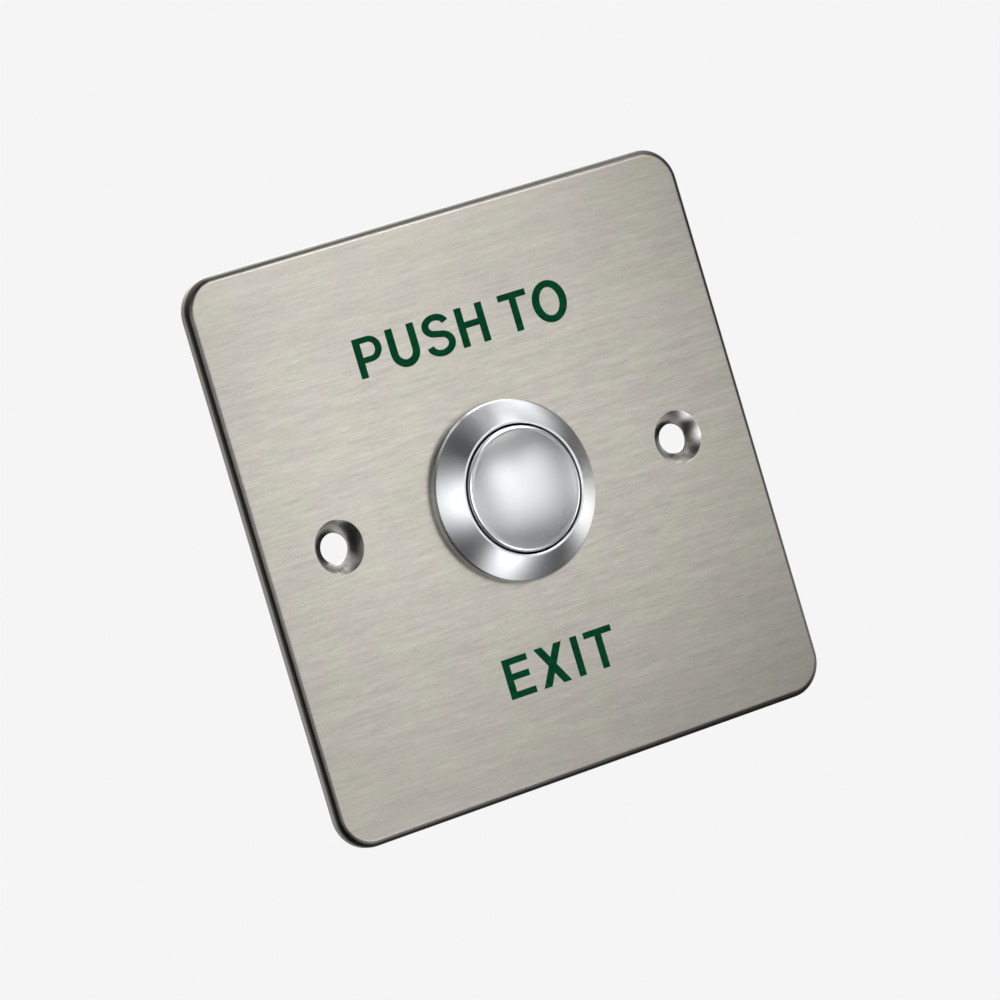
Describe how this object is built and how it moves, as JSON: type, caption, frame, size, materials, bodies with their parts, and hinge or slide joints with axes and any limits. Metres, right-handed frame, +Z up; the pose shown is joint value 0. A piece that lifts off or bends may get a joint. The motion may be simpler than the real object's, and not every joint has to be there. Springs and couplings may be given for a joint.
{
  "type": "door exit button",
  "caption": "Square brushed steel wall plate with a domed metal push button in its middle and a changeover switch with screw terminals behind it.",
  "frame": {"origin": "centre of the plate's back face, in the plane that lies on the wall, midway between the two fixing holes", "axes": "-Y points out of the wall towards the person who presses the button, +Y into the wall along the button's axis, +X to the right as seen from the front, +Z up"},
  "size_m": [0.086, 0.0342, 0.086],
  "materials": {
    "brushed_plate": "stainless sheet brushed from side to side",
    "turned_bezel": "turned, with fine circular lines",
    "satin_cap": "bead blasted satin",
    "legend_ink": "green filled lettering",
    "nickel_plate": "bright nickel plated",
    "spring_wire": "drawn spring wire",
    "seal_rubber": "matt",
    "white_acetal": "turned acetal",
    "black_moulding": "glass-filled moulding",
    "terminal_brass": "stamped strip",
    "contact_silver": "silver alloy"
  },
  "bodies": {
    "plate": {"face_plate": "brushed_plate", "bezel_housing": "turned_bezel", "flange_gasket": "seal_rubber", "lock_washer": "nickel_plate", "lock_nut": "nickel_plate", "return_spring": "spring_wire", "contact_spring": "spring_wire", "contact_cover": "black_moulding", "switch_base": "black_moulding", "closed_terminal": "terminal_brass", "open_terminal": "terminal_brass", "common_terminal": "terminal_brass", "closed_contact": "contact_silver", "open_contact": "contact_silver", "wire_clamp_common": "nickel_plate", "terminal_screw_common": "nickel_plate", "wire_clamp_closed": "nickel_plate", "terminal_screw_closed": "nickel_plate", "wire_clamp_open": "nickel_plate", "terminal_screw_open": "nickel_plate"},
    "button": {"push_cap": "satin_cap", "cap_seal": "seal_rubber", "plunger": "white_acetal", "plunger_clip": "spring_wire", "contact_bridge": "terminal_brass", "bridge_contact_closed": "contact_silver", "bridge_contact_open": "contact_silver"}
  },
  "joints": [
    {"name": "button_press", "type": "slide", "parent": "plate", "child": "button", "axis": [0, 1, 0], "range_m": [0, 0.0025], "stiffness_N_per_m": 600, "springref_m": -0.005, "deforming": ["return_spring", "contact_spring"]}
  ]
}
